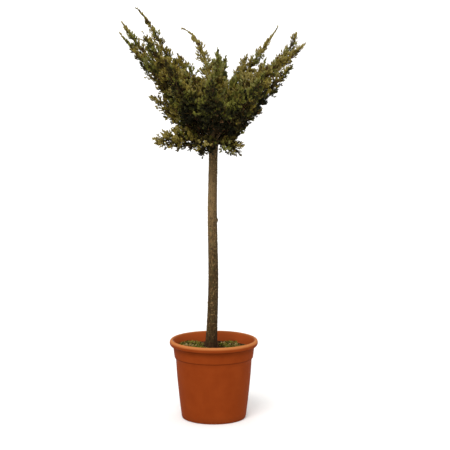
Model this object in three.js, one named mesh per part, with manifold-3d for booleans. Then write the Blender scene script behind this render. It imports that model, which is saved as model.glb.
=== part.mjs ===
// A spreading juniper grown as a standard: a clear stem with one crown of arching, feathery plumes, in a
// nursery pot. Millimetres, +Z up. The origin is the centre of the pot's flat underside. Seen from the
// front, +X is to the right and +Y goes away. Every plume is a short bare bough that forks from the head of
// the stem, and the foliage that it carries.

import * as THREE from "three";
import { mergeVertices } from "three/addons/utils/BufferGeometryUtils.js";
import Module from "manifold-3d";

const wasm = await Module();
wasm.setup();

const upright = new THREE.Vector3(0, 0, 1);
const clearance = 0.35;
const finestStep = 0.01;
const weldDistance = 1e-3;

// Pot
const potHeight = 309;
const rimRadius = 171.5;
const beadHalfWidth = 8.2;
const beadHalfHeight = 12;
const collarTopRadius = 158.5;
const collarFootRadius = 153;
const collarFootHeight = 240;
const undercut = 9;
const bodyTopRadius = 148;
const bodyBulge = 2.5;
const baseRadius = 124.5;
const footRounding = 6;
const wallThickness = 3;
const floorThickness = 4;
const potSides = 36;
const footTurns = [0, 45, 90];
const bodyShares = [0.33, 0.66, 1];
const beadTurns = [-60, -25, 10, 45, 80, 115, 150];
const collarEndShare = 0.86;
const terracotta = 0xa3481f;
const plasticRoughness = 0.55;

// Soil and the moss on it
const soilHeight = 269;
const soilUnevenness = 2.5;
const heaveLength = 23;
const flatRoundStem = 26;
const fullHeaveFrom = 60;
const soilRings = [0.78, 0.55, 0.3];
const flatEdgeShare = 0.9;
const soilBrown = 0x35281d;
const mossGreen = 0x4f5e26;
const mossRaggedness = 0.16;
const mossCushions = [
  { name: "moss_left_back", x: -88, y: 42, radius: 40, height: 13 },
  { name: "moss_left_front", x: -66, y: -34, radius: 34, height: 10 },
  { name: "moss_right_back", x: 62, y: 52, radius: 34, height: 11 },
  { name: "moss_right_front", x: 84, y: -26, radius: 38, height: 12 },
];

// Stem: its line sways gently and bends left at its flared foot, and its head swells where boughs fork
const stemTop = 1150;
const stemX = -3.2;
const stemSway = 1.8;
const swayLength = 520;
const swayStart = 420;
const stemDepthPace = 0.8;
const stemFootRadius = 20.3;
const stemHeadRadius = 16.1;
const stemTipRadius = 8;
const flareRadius = 4;
const flareHeight = 60;
const footBend = 8;
const footBendHeight = 80;
const flareLobes = 5;
const lobeDepth = 0.35;
const headHeight = 1062;
const headSwelling = 2.2;
const headSpread = 30;
const stemSides = 12;
const stemSteps = 28;
const cutDepth = 5;
const barkBrown = 0x5a4633;
const barkRoughness = 0.9;

// Plumes. Azimuth 0 is to the right and 90 away from the front. Reach is the tip's distance from the pot's
// axis and top its height. The bough leaves the stem at the steepness "leaves" and its tip points at the
// steepness "ends", over the share "endBend" of its length. A plume with a curl leaves that much short of its
// azimuth and its tip points that much past it. Girth is how far the foliage spreads, taper how soon it grows
// slender, and spray the length of its longest spray. The bough is bare over "bareShare" of the plume.
const usual = { leaves: 52, ends: 52, endBend: 0.33, curl: 0, girth: 72, taper: 0.8, spray: 76 };
const tall = { ...usual, fork: 1096, forkSpan: 42, bareShare: 0.11 };
const inner = { ...tall, leaves: 68, ends: 64, girth: 58 };
const leader = { ...tall, endBend: 0.12, girth: 64, taper: 1.05 };
const middle = { ...usual, fork: 1078, forkSpan: 30, leaves: 38, ends: 56, girth: 74, bareShare: 0.12 };
const drooping = { leaves: 14, ends: -22, taper: 0.6, spray: 50 };
const low = { ...usual, ...drooping, fork: 1056, forkSpan: 18, bareShare: 0.16 };
const plumes = [
  {
    name: "left_leader",
    ...leader,
    azimuth: 160,
    reach: 330,
    top: 1588,
    leaves: 49,
    ends: 20,
    girth: 68,
    taper: 1.1,
  },
  { name: "left_upper", ...tall, azimuth: 177, reach: 350, top: 1527, leaves: 46, ends: 58, girth: 68 },
  {
    name: "left_outer",
    ...middle,
    azimuth: 192,
    reach: 364,
    top: 1493,
    leaves: 47,
    ends: 52,
    girth: 70,
    taper: 1,
  },
  { name: "left_inner", ...tall, azimuth: 209, reach: 300, top: 1493, ends: 62, girth: 74, taper: 0.65 },
  { name: "left_front", ...middle, azimuth: 235, reach: 310, top: 1395 },
  { name: "inner_left", ...inner, azimuth: 146, reach: 172, top: 1406, leaves: 62, girth: 76 },
  { name: "inner_front", ...inner, azimuth: 276, reach: 140, top: 1433 },
  {
    name: "inner_right",
    ...inner,
    azimuth: 43,
    reach: 171,
    top: 1401,
    fork: 1065,
    leaves: 62,
    girth: 56,
    taper: 0.65,
  },
  { name: "inner_back", ...inner, azimuth: 76, reach: 176, top: 1396, fork: 1110, girth: 52 },
  { name: "front", ...middle, azimuth: 268, reach: 320, top: 1330, girth: 84 },
  { name: "right_front", ...middle, azimuth: 306, reach: 315, top: 1352 },
  {
    name: "right_lower",
    ...middle,
    azimuth: 334,
    reach: 321,
    top: 1371,
    leaves: 43,
    ends: 50,
    girth: 69,
    taper: 0.65,
  },
  {
    name: "right_outer",
    ...tall,
    azimuth: 352,
    reach: 347,
    top: 1450,
    leaves: 54,
    ends: 42,
    girth: 62,
    taper: 0.65,
  },
  {
    name: "right_fork",
    ...tall,
    azimuth: 6,
    reach: 312,
    top: 1487,
    leaves: 52,
    ends: 84,
    endBend: 0.2,
    taper: 0.42,
    girth: 46,
  },
  { name: "right_leader", ...leader, azimuth: 22, reach: 262, top: 1508, leaves: 59, ends: 54, girth: 59 },
  { name: "right_back", ...middle, azimuth: 48, reach: 300, top: 1384, girth: 62 },
  { name: "back", ...middle, azimuth: 86, reach: 310, top: 1385, girth: 84 },
  {
    name: "back_leader",
    ...leader,
    azimuth: 117,
    reach: 284,
    top: 1501,
    leaves: 64,
    ends: 8,
    curl: 46,
    endBend: 0.17,
    girth: 72,
    taper: 1.15,
  },
  { name: "left_back", ...middle, azimuth: 138, reach: 338, top: 1445, girth: 52, taper: 0.9 },
  {
    name: "low_right",
    ...low,
    azimuth: 350,
    reach: 180,
    top: 1200,
    leaves: 31,
    ends: 26,
    girth: 66,
    taper: 0.85,
  },
  { name: "low_right_front", ...low, azimuth: 318, reach: 106, top: 1052, leaves: 2, ends: -35, girth: 74 },
  { name: "low_front", ...low, azimuth: 254, reach: 160, top: 1056, leaves: 8, girth: 70 },
  {
    name: "low_left_front",
    ...low,
    azimuth: 205,
    reach: 236,
    top: 1082,
    leaves: 24,
    ends: -12,
    girth: 68,
    taper: 0.55,
  },
  {
    name: "low_left",
    ...low,
    azimuth: 168,
    reach: 254,
    top: 1242,
    leaves: 33,
    ends: 22,
    girth: 78,
    taper: 0.8,
  },
  { name: "low_back_left", ...low, azimuth: 120, reach: 215, top: 1112, leaves: 20, girth: 74 },
  { name: "low_back_right", ...low, azimuth: 66, reach: 208, top: 1102, leaves: 20, girth: 74 },
];
const crownX = 3.5;
const trailSamples = 40;
const swellingStart = 0.65;
const swellingEnd = 0.22;
const boughRootRadius = 6.5;
const boughTipRadius = 4.2;
const boughSides = 5;
const boughSteps = 3;
const plumeTipRadius = 0.9;
const plumeStemSides = 4;
const plumeStemSteps = 6;

// Foliage: side shoots wind up a plume by the golden angle, and each bears sprays of needles. Past the side
// shoots the sprays stand on the plume's own stem.
const goldenAngle = Math.PI * (3 - Math.sqrt(5));
const shootSpacing = 32;
const shootsEnd = 0.8;
const shootAngle = 0.72;
const shootWander = 0.22;
const shootRadius = 2.4;
const shootReaches = [1, 0.85, 0.7, 0.55];
const sideSprays = [
  { share: 0.8, swing: 0.62 },
  { share: 0.9, swing: -0.58 },
];
const leaderSpraySpacing = 17;
const leaderLean = 0.7;
const leaderStart = 0.6;
const shootStart = 0.4;
const stationSteps = 60;
const shortestTwig = 4;
const twigTipShare = 0.5;
const sprayShortest = 40;
const sprayShareOfSpread = 0.95;
const sprayWidthShare = 0.4;
const sprayThicknessShare = 0.3;
const sprayWidestShare = 0.42;
const spraySunkShare = 0.25;
const sideSprayShare = 0.82;
const ownSpaceMargin = 1.5;
const coreShare = 0.5;
const coreSides = 6;
const coreSteps = 6;
const coreStarts = [0.015, 0.08, 0.16, 0.26];
const coreScales = [1, 0.85, 0.7, 0.55];
const coreEnd = 0.88;
const coreMargin = 5;
const coreLeast = 2;
const coreShrink = 0.88;
const coreLumpiness = 0.16;
const coreTwist = 19;
const coreRootShare = 0.3;
const coreRootSwelling = 5;
const coreTipTaper = 3;
const tipWidth = 6;
const smallestWidth = 12;

const foliageGreens = [0x47502a, 0x3f4a28, 0x555a2d];
const foliageRoughness = 0.85;

function solidOf(geometry) {
  const loose = geometry.index ? geometry.toNonIndexed() : geometry.clone();
  for (const name of Object.keys(loose.attributes)) {
    if (name !== "position") {
      loose.deleteAttribute(name);
    }
  }
  const merged = mergeVertices(loose, weldDistance);
  const corners = merged.index.array;
  const kept = [];
  for (let i = 0; i < corners.length; i += 3) {
    const [a, b, c] = [corners[i], corners[i + 1], corners[i + 2]];
    if (a !== b && b !== c && c !== a) {
      kept.push(a, b, c);
    }
  }
  const vertProperties = merged.attributes.position.array;
  return new wasm.Manifold(new wasm.Mesh({ numProp: 3, vertProperties, triVerts: new Uint32Array(kept) }));
}

function geometryOf(solid) {
  const mesh = solid.getMesh();
  const points = new Float32Array(mesh.numVert * 3);
  for (let i = 0; i < mesh.numVert; i++) {
    points.set(mesh.vertProperties.subarray(i * mesh.numProp, i * mesh.numProp + 3), i * 3);
  }
  const geometry = new THREE.BufferGeometry();
  geometry.setAttribute("position", new THREE.BufferAttribute(points, 3));
  geometry.setIndex(new THREE.BufferAttribute(mesh.triVerts, 1));
  geometry.computeVertexNormals();
  return geometry;
}

// The largest body of a solid, with sealed hollows filled and loose scraps dropped. Its corners are set to a
// fine grid first, so that no sliver is left.
function mainBody(solid) {
  const geometry = geometryOf(solid);
  const corners = geometry.attributes.position.array;
  for (let i = 0; i < corners.length; i++) {
    corners[i] = Math.round(corners[i] / finestStep) * finestStep;
  }
  const bodies = solidOf(geometry).decompose();
  return bodies.reduce((largest, body) => (body.volume() > largest.volume() ? body : largest));
}

function namedMesh(name, solid, color, roughness) {
  const material = new THREE.MeshStandardMaterial({ color, roughness, metalness: 0, flatShading: true });
  const mesh = new THREE.Mesh(geometryOf(solid), material);
  mesh.name = name;
  return mesh;
}

// A repeatable number from 0 to 1 for a seed and an index.
function chance(seed, index) {
  const wave = Math.sin(seed * 12.9898 + index * 78.233) * 43758.5453;
  return wave - Math.floor(wave);
}

function smoothstep(low, high, value) {
  return THREE.MathUtils.smoothstep(value, low, high);
}

// A closed limb round a curve. radiusAt gives its radius for a share of the length, a turn and the way out.
function limb(curve, radiusAt, sides, steps) {
  const geometry = new THREE.CylinderGeometry(1, 1, 1, sides, steps);
  const frames = curve.computeFrenetFrames(steps, false);
  const position = geometry.attributes.position;
  for (let i = 0; i < position.count; i++) {
    const [x, y, z] = [position.getX(i), position.getY(i), position.getZ(i)];
    const row = Math.round((y + 0.5) * steps);
    const outward = frames.normals[row].clone().multiplyScalar(x);
    outward.addScaledVector(frames.binormals[row], -z);
    const radius = radiusAt(row / steps, Math.atan2(z, x), outward);
    const point = curve.getPointAt(row / steps).addScaledVector(outward, radius);
    position.setXYZ(i, point.x, point.y, point.z);
  }
  return solidOf(geometry);
}

function lathe(profile, sides) {
  const points = profile.map(([radius, height]) => new THREE.Vector2(radius, height));
  return new THREE.LatheGeometry(points, sides).rotateX(Math.PI / 2);
}

// The pot's outer radius on its tapered body, which bulges a little.
function bodyRadius(height) {
  const share = height / collarFootHeight;
  const bulge = bodyBulge * Math.sin(Math.PI * share);
  return THREE.MathUtils.lerp(baseRadius, bodyTopRadius, share) + bulge;
}

// The pot's inner radius, a wall thickness inside the body and the collar.
function innerRadius(height) {
  if (height <= collarFootHeight) {
    return bodyRadius(height) - wallThickness;
  }
  const share = (height - collarFootHeight) / (potHeight - collarFootHeight);
  return THREE.MathUtils.lerp(bodyTopRadius, collarTopRadius, share) - wallThickness;
}

// A blow-moulded pot: rounded foot, tapered body, a collar that stands out over an undercut, and a rolled
// bead for its rim.
function makePot() {
  const beadHeight = potHeight - beadHalfHeight;
  const beadCentre = rimRadius - beadHalfWidth;
  const profile = [[0, 0]];
  for (const turn of footTurns) {
    const angle = THREE.MathUtils.degToRad(turn);
    const radius = baseRadius - footRounding * (1 - Math.sin(angle));
    profile.push([radius, footRounding * (1 - Math.cos(angle))]);
  }
  for (const share of bodyShares) {
    const height = (collarFootHeight - undercut) * share;
    profile.push([bodyRadius(height), height]);
  }
  profile.push([collarFootRadius, collarFootHeight]);
  profile.push([collarTopRadius, beadHeight - beadHalfHeight * collarEndShare]);
  for (const turn of beadTurns) {
    const angle = THREE.MathUtils.degToRad(turn);
    const out = beadCentre + beadHalfWidth * Math.cos(angle);
    profile.push([out, beadHeight + beadHalfHeight * Math.sin(angle)]);
  }
  for (const height of [beadHeight, collarFootHeight, collarFootHeight / 2, floorThickness]) {
    profile.push([innerRadius(height), height]);
  }
  profile.push([0, floorThickness]);
  return solidOf(lathe(profile, potSides));
}

// The height of the soil's surface, which heaves a little.
function soilSurface(x, y) {
  const heave = Math.sin(x / heaveLength + 1) * Math.cos(y / heaveLength);
  return soilHeight + soilUnevenness * heave * smoothstep(flatRoundStem, fullHeaveFrom, Math.hypot(x, y));
}

// The soil that fills the pot, with its surface raised by lift.
function makeSoil(lift) {
  const profile = [[0, floorThickness + clearance]];
  const halfway = collarFootHeight / 2;
  for (const height of [floorThickness + clearance, halfway, collarFootHeight, soilHeight]) {
    profile.push([innerRadius(height) - clearance, height]);
  }
  const edge = innerRadius(soilHeight) - clearance;
  for (const share of soilRings) {
    profile.push([edge * share, soilHeight]);
  }
  profile.push([0, soilHeight]);
  const soil = lathe(profile, potSides);
  const position = soil.attributes.position;
  for (let i = 0; i < position.count; i++) {
    const [x, y] = [position.getX(i), position.getY(i)];
    if (position.getZ(i) > soilHeight - clearance) {
      const inside = Math.hypot(x, y) < edge * flatEdgeShare;
      position.setZ(i, (inside ? soilSurface(x, y) : soilHeight) + lift);
    }
  }
  return solidOf(soil);
}

// A low cushion of moss with an uneven edge, cut to lie on the soil.
function makeMoss({ x, y, radius, height }, index, ground) {
  const cushion = new THREE.SphereGeometry(1, 10, 5);
  const position = cushion.attributes.position;
  for (let i = 0; i < position.count; i++) {
    const [across, up, beside] = [position.getX(i), position.getY(i), position.getZ(i)];
    const turn = Math.atan2(beside, across);
    const waves = Math.sin(3 * turn + index * 2) + 0.5 * Math.sin(7 * turn + index);
    const ragged = 1 + mossRaggedness * waves;
    const [out, away] = [radius * ragged * across, radius * ragged * beside];
    position.setXYZ(i, x + out, y - away, soilHeight + height * up);
  }
  return mainBody(solidOf(cushion).subtract(ground));
}

// The middle of the stem at a height.
function stemCentre(height) {
  const phase = (2 * Math.PI * (height - swayStart)) / swayLength;
  const bend = footBend * Math.exp((soilHeight - height) / footBendHeight);
  const y = stemSway * Math.cos(stemDepthPace * phase);
  return new THREE.Vector3(stemX + stemSway * Math.sin(phase) - bend, y, height);
}

function stemRadius(height, turn) {
  const climb = (height - soilHeight) / (headHeight - soilHeight);
  const flare = flareRadius * Math.exp((soilHeight - height) / flareHeight);
  const lobes = 1 + lobeDepth * Math.cos(flareLobes * turn);
  const head = headSwelling * Math.exp(-(((height - headHeight) / headSpread) ** 2));
  if (height > headHeight) {
    const share = (height - headHeight) / (stemTop - headHeight);
    return THREE.MathUtils.lerp(stemHeadRadius, stemTipRadius, share) + head;
  }
  return THREE.MathUtils.lerp(stemFootRadius, stemHeadRadius, climb) + flare * lobes + head;
}

class StemLine extends THREE.Curve {
  constructor(foot, top) {
    super();
    this.foot = foot;
    this.top = top;
  }

  getPoint(share) {
    return stemCentre(THREE.MathUtils.lerp(this.foot, this.top, share));
  }
}

// The stem, or the same shape grown by a margin, from a flat cut on the soil to its head.
function makeStem(margin) {
  const foot = soilHeight + clearance;
  const line = new StemLine(foot - cutDepth, stemTop + margin);
  const radiusAt = (share, turn) => {
    const height = THREE.MathUtils.lerp(foot - cutDepth, stemTop, share);
    return stemRadius(height, turn) + margin;
  };
  const below = new THREE.BoxGeometry(rimRadius, rimRadius, 4 * cutDepth);
  below.translate(0, 0, foot - 2 * cutDepth);
  return mainBody(limb(line, radiusAt, stemSides, stemSteps).subtract(solidOf(below)));
}

class Stretch extends THREE.Curve {
  constructor(whole, from, to) {
    super();
    this.whole = whole;
    this.from = from;
    this.to = to;
  }

  getPoint(share) {
    return this.whole.getPointAt(THREE.MathUtils.lerp(this.from, this.to, share));
  }
}

function slope(outward, degrees, length) {
  const angle = THREE.MathUtils.degToRad(degrees);
  const run = outward.clone().multiplyScalar(Math.cos(angle) * length);
  return run.setZ(Math.sin(angle) * length);
}

// A plume's line, from the middle of the stem to its tip.
function plumeLine(plume, index) {
  const angle = THREE.MathUtils.degToRad(plume.azimuth);
  const outward = new THREE.Vector3(Math.cos(angle), Math.sin(angle), 0);
  const curl = THREE.MathUtils.degToRad(plume.curl);
  const setOff = outward.clone().applyAxisAngle(upright, -curl);
  const finish = outward.clone().applyAxisAngle(upright, curl);
  const root = stemCentre(plume.fork + plume.forkSpan * chance(index, 1));
  const tip = outward.clone().multiplyScalar(plume.reach).add(new THREE.Vector3(crownX, 0, plume.top));
  const length = root.distanceTo(tip);
  const leaving = root.clone().add(slope(setOff, plume.leaves, length / 3));
  const ending = tip.clone().sub(slope(finish, plume.ends, length * plume.endBend));
  return new THREE.CubicBezierCurve3(root, leaving, ending, tip);
}

// How far a plume's foliage spreads from its line, at a share of the foliage's length.
function spread(plume, share) {
  const swelling = THREE.MathUtils.lerp(swellingStart, 1, smoothstep(0, swellingEnd, share));
  return plume.girth * swelling * Math.pow(1 - share, plume.taper) + tipWidth;
}

function prepare(plume, index) {
  const line = plumeLine(plume, index);
  const trail = [];
  for (let i = 0; i <= trailSamples; i++) {
    const share = i / trailSamples;
    const along = Math.max(0, (share - plume.bareShare) / (1 - plume.bareShare));
    trail.push({ point: line.getPointAt(share), width: Math.max(spread(plume, along), smallestWidth) });
  }
  return { ...plume, index, line, trail };
}

// How strongly a plume claims a point: its distance from the line in widths of the foliage there.
function claim(plume, point, margin) {
  let best = Infinity;
  for (const { point: onLine, width } of plume.trail) {
    best = Math.min(best, Math.max(0, onLine.distanceTo(point) + margin) / width);
  }
  return best;
}

// A point is in a plume's own space if no other plume has a stronger claim to it.
function inOwnSpace(plume, all, point, margin) {
  const own = claim(plume, point, margin);
  return all.every((other) => other === plume || claim(other, point, -margin) > own);
}

// The bare bough, cut to the stem and to the boughs made before it.
function makeBough(plume, cutters) {
  const line = new Stretch(plume.line, 0, plume.bareShare);
  const radiusAt = (share) => THREE.MathUtils.lerp(boughRootRadius, boughTipRadius, share);
  const raw = limb(line, radiusAt, boughSides, boughSteps);
  return mainBody(cutters.reduce((left, cutter) => left.subtract(cutter), raw));
}

// A spray of needles: a flat spindle of eight faces, widest two fifths of the way up, its root at a point.
function spray(root, direction, side, length) {
  const geometry = new THREE.OctahedronGeometry(1, 0);
  const position = geometry.attributes.position;
  const across = side.clone().cross(direction).normalize();
  const flat = across.clone().cross(direction).normalize();
  const point = new THREE.Vector3();
  for (let i = 0; i < position.count; i++) {
    const [x, y, z] = [position.getX(i), position.getY(i), position.getZ(i)];
    const along = y > 0.5 ? 1 : y < -0.5 ? 0 : sprayWidestShare;
    point.copy(root).addScaledVector(direction, (along - spraySunkShare) * length);
    point.addScaledVector(across, (x * length * sprayWidthShare) / 2);
    point.addScaledVector(flat, (z * length * sprayThicknessShare) / 2);
    position.setXYZ(i, point.x, point.y, point.z);
  }
  return geometry;
}

// True if all the corners of a shape stay in the plume's own space.
function keepsToSpace(plume, all, geometry) {
  const position = geometry.attributes.position;
  const point = new THREE.Vector3();
  for (let i = 0; i < position.count; i++) {
    if (!inOwnSpace(plume, all, point.fromBufferAttribute(position, i), ownSpaceMargin)) {
      return false;
    }
  }
  return true;
}

function clears(solid, neighbours) {
  const box = solid.boundingBox();
  return neighbours.every(({ solid: other, box: otherBox }) => {
    const apart = [0, 1, 2].some((i) => box.min[i] > otherBox.max[i] || box.max[i] < otherBox.min[i]);
    return apart || solid.intersect(other).isEmpty();
  });
}

// The core inside a plume. Each side of it reaches towards the edge of the plume's own space.
function makeCore(plume, all, line, start, scale) {
  const radiusAt = (share, turn, outward) => {
    const along = THREE.MathUtils.lerp(start, coreEnd, share);
    const lumps = 1 + coreLumpiness * Math.sin(2 * turn + share * coreTwist + plume.index);
    const ends = Math.min(1, coreRootShare + share * coreRootSwelling, (1 - share) * coreTipTaper);
    const centre = line.getPointAt(along);
    const side = (radius) => centre.clone().addScaledVector(outward, radius);
    let radius = spread(plume, along) * coreShare * scale * lumps * ends;
    while (radius > coreLeast && !inOwnSpace(plume, all, side(radius), coreMargin)) {
      radius *= coreShrink;
    }
    return Math.max(coreLeast, radius);
  };
  return limb(new Stretch(line, start, coreEnd), radiusAt, coreSides, coreSteps);
}

// The places on a plume's stem where side shoots and leader sprays stand, with the way that each leans out.
function stations(plume, line) {
  const length = line.getLength();
  const frames = line.computeFrenetFrames(stationSteps, false);
  const shoots = Math.round((length * shootsEnd) / shootSpacing);
  const leaders = Math.round((length * (1 - shootsEnd)) / leaderSpraySpacing);
  const places = [];
  for (let k = 0; k < shoots + leaders; k++) {
    const onLeader = k >= shoots;
    const leaderShare = (k - shoots + leaderStart) / (leaders + leaderStart);
    const share = onLeader ? leaderShare : (k + shootStart) / shoots;
    const along = onLeader ? THREE.MathUtils.lerp(shootsEnd, 1, share) : share * shootsEnd;
    const row = Math.round(along * stationSteps);
    const turn = k * goldenAngle + plume.index;
    const radial = frames.normals[row].clone().multiplyScalar(Math.cos(turn));
    radial.addScaledVector(frames.binormals[row], Math.sin(turn));
    const wander = shootWander * (chance(plume.index, k) - 0.5);
    const lean = (onLeader ? leaderLean : 1) * (shootAngle + wander);
    const direction = frames.tangents[row].clone().multiplyScalar(Math.cos(lean));
    direction.addScaledVector(radial, Math.sin(lean));
    places.push({ onLeader, along, lean, direction, radial, root: line.getPointAt(along) });
  }
  return places;
}

// The first and largest core that stays clear of what is made already, in a list, or an empty list.
function fittingCore(plume, all, line, neighbours) {
  for (const start of coreStarts) {
    for (const scale of coreScales) {
      const core = makeCore(plume, all, line, start, scale);
      if (clears(core, neighbours)) {
        return [core];
      }
    }
  }
  return [];
}

// One plume's foliage: a stem that carries on from the bough, a slim core, and shoots that bear sprays. A
// shoot or spray that would leave the plume's own space or touch a limb is made shorter, and left out if it
// is still too long.
function makeFoliage(plume, all, neighbours) {
  const line = new Stretch(plume.line, plume.bareShare, 1);
  const afterGap = plume.bareShare + clearance / plume.line.getLength();
  const stemLine = new Stretch(plume.line, afterGap, 1);
  const thinning = (share) => THREE.MathUtils.lerp(boughTipRadius, plumeTipRadius, share);
  const stem = limb(stemLine, thinning, plumeStemSides, plumeStemSteps);
  const twigs = [];
  const sprays = [];
  const bear = (root, aim, axis, length) => {
    const shape = spray(root, aim, axis, length);
    const solid = solidOf(shape);
    const fits = keepsToSpace(plume, all, shape) && clears(solid, neighbours) && clears(solid, sprays);
    if (fits) {
      sprays.push(boxed(plume.name, solid));
    }
    return fits;
  };
  const growShoot = ({ along, lean, direction, radial, root }, reach) => {
    const axis = radial.clone().cross(direction).normalize();
    const full = (reach * spread(plume, along)) / Math.sin(lean);
    const length = THREE.MathUtils.clamp(full * sprayShareOfSpread, sprayShortest, plume.spray);
    const reached = Math.max(shortestTwig, full - length * (1 - spraySunkShare));
    const end = root.clone().addScaledVector(direction, reached);
    const narrowing = (share) => shootRadius * THREE.MathUtils.lerp(1, twigTipShare, share);
    const twig = limb(new THREE.LineCurve3(root, end), narrowing, 3, 1);
    if (!clears(twig, neighbours) || !bear(end, direction, axis, length)) {
      return false;
    }
    twigs.push(twig);
    for (const { share, swing } of sideSprays) {
      const aim = direction.clone().applyAxisAngle(radial, swing).normalize();
      bear(root.clone().lerp(end, share), aim, axis, length * sideSprayShare);
    }
    return true;
  };
  const growSpray = ({ along, direction, radial, root }, reach) => {
    const axis = radial.clone().cross(direction).normalize();
    return bear(root, direction, axis, Math.max(sprayShortest, spread(plume, along) * 2) * reach);
  };
  for (const place of stations(plume, line)) {
    shootReaches.some((reach) => (place.onLeader ? growSpray(place, reach) : growShoot(place, reach)));
  }
  const core = fittingCore(plume, all, line, neighbours);
  const solids = [stem, ...core, ...twigs, ...sprays.map(({ solid }) => solid)];
  return mainBody(solids.reduce((whole, solid) => whole.add(solid)));
}

function boxed(name, solid) {
  return { name, solid, box: solid.boundingBox() };
}

const juniper = new THREE.Group();
juniper.name = "standard_juniper";

const pot = makePot();
const soil = makeSoil(0);
const ground = makeSoil(clearance);
juniper.add(namedMesh("pot", pot, terracotta, plasticRoughness));
juniper.add(namedMesh("soil", soil, soilBrown, 1));
mossCushions.forEach((cushion, index) => {
  juniper.add(namedMesh(cushion.name, makeMoss(cushion, index, ground), mossGreen, 1));
});
juniper.add(namedMesh("stem", makeStem(0), barkBrown, barkRoughness));

const prepared = plumes.map(prepare);
const cutters = [makeStem(clearance)];
const limbs = [];
for (const plume of prepared) {
  const bough = makeBough(plume, cutters);
  juniper.add(namedMesh(`bough_${plume.name}`, bough, barkBrown, barkRoughness));
  const grown = limb(
    new Stretch(plume.line, 0, plume.bareShare),
    (share) => THREE.MathUtils.lerp(boughRootRadius, boughTipRadius, share) + clearance,
    boughSides,
    boughSteps,
  );
  cutters.push(grown);
  limbs.push(boxed(plume.name, grown));
}

const made = [boxed("stem", cutters[0]), ...limbs];
for (const plume of prepared) {
  const foliage = makeFoliage(plume, prepared, made.filter(({ name }) => name !== plume.name));
  const color = foliageGreens[plume.index % foliageGreens.length];
  juniper.add(namedMesh(`foliage_${plume.name}`, foliage, color, foliageRoughness));
  made.push(boxed(`foliage_${plume.name}`, foliage));
}

export default juniper;
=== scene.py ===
"""A spreading juniper grown as a standard, in a terracotta-coloured nursery pot.

Metres, +Z up. The origin is the centre of the pot's flat underside. Seen from the front, +X is to the right
and +Y goes away. Lengths of real things are given in millimetres times mm.
"""

import math

import bpy
import numpy as np
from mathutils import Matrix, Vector, noise


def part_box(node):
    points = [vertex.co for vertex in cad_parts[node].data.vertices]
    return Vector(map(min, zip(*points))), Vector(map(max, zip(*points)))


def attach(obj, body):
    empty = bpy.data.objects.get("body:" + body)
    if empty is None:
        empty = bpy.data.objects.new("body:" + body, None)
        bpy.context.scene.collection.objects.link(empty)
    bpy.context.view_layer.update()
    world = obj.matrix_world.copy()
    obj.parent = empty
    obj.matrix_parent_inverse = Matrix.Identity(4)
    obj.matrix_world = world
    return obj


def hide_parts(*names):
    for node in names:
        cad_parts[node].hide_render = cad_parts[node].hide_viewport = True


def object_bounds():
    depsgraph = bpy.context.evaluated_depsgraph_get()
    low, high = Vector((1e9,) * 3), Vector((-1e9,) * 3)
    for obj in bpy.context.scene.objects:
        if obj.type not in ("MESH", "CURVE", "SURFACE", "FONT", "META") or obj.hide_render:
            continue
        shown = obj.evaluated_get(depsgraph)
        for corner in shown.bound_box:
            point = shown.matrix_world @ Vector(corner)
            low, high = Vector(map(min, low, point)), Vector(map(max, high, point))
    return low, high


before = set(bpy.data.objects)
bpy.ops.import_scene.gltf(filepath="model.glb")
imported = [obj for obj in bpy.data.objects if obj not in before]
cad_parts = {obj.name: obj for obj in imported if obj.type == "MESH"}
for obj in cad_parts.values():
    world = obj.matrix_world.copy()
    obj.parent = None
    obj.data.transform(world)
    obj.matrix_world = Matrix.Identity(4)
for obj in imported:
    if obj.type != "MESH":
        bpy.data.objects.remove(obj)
cad_low, cad_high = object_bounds()

# Camera. It stands six metres in front of the pot, about as high as the crown's top, and looks slightly down,
# so that the pot's rim shows as a narrow ellipse.
eye = Vector((0.0435, -6.0, 1.577))
aim = Vector((0.0435, 0, 0.756))
bpy.ops.object.camera_add(location=eye, rotation=(aim - eye).to_track_quat("-Z", "Y").to_euler())
camera = bpy.context.object
camera.data.sensor_width = 36
camera.data.lens = 125.96
camera.data.clip_end = 1200
bpy.context.scene.camera = camera

# Light. A wide soft key comes from high in front, a little from the left, and a pale sky fills in. The image
# is shown with the plain sRGB curve, so that the hex colours below come out about as they are written.
bpy.context.scene.view_settings.view_transform = "Standard"
sky_brightness = 0.9
key_from = Vector((-0.2, -0.82, 1.0))
key_strength = 1.9
key_softness = 30
bpy.ops.object.light_add(type="SUN", rotation=(-key_from).to_track_quat("-Z", "Y").to_euler())
bpy.context.object.name = "key"
bpy.context.object.data.energy = key_strength
bpy.context.object.data.angle = math.radians(key_softness)
world = bpy.data.worlds.new("pale sky")
world.use_nodes = True
world.node_tree.nodes["Background"].inputs["Color"].default_value = (1, 1, 1, 1)
world.node_tree.nodes["Background"].inputs["Strength"].default_value = sky_brightness
bpy.context.scene.world = world


def srgb(code):
    """The linear colour of an sRGB hex value such as "#a04018"."""
    channels = [int(code[i:i + 2], 16) / 255 for i in (1, 3, 5)]
    linear = [c / 12.92 if c <= 0.04045 else ((c + 0.055) / 1.055) ** 2.4 for c in channels]
    return (*linear, 1)


def new_material(name, roughness, gloss):
    """A material and its shader node, with an even roughness and gloss."""
    material = bpy.data.materials.new(name)
    material.use_nodes = True
    shader = material.node_tree.nodes["Principled BSDF"]
    shader.inputs["Roughness"].default_value = roughness
    shader.inputs["Specular IOR Level"].default_value = gloss
    return material, shader


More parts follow.
